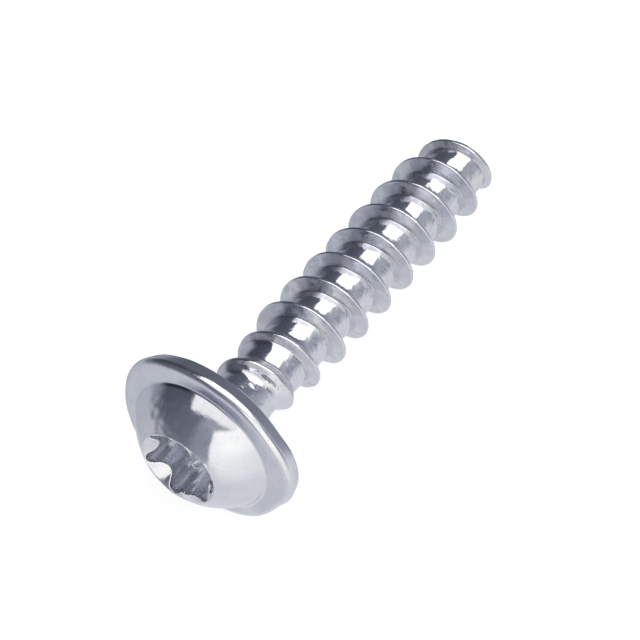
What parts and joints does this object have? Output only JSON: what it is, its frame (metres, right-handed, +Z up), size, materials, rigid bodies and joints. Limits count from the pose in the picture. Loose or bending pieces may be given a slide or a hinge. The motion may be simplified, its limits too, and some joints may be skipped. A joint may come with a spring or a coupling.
{
  "type": "screw",
  "caption": "Thread-forming screw with a domed flange head, a lobed drive recess and a coarse right-hand thread to a blunt tip, lying on its side.",
  "frame": {"origin": "centre of the base of the bounding box, on the surface that the screw lies on", "axes": "+X along the screw towards its tip, which points 8.06 degrees down; +Z up"},
  "size_m": [0.0276, 0.0108, 0.0107],
  "materials": {
    "zinc": "bright zinc plating"
  },
  "bodies": {
    "root": {"screw": "zinc"}
  },
  "joints": []
}
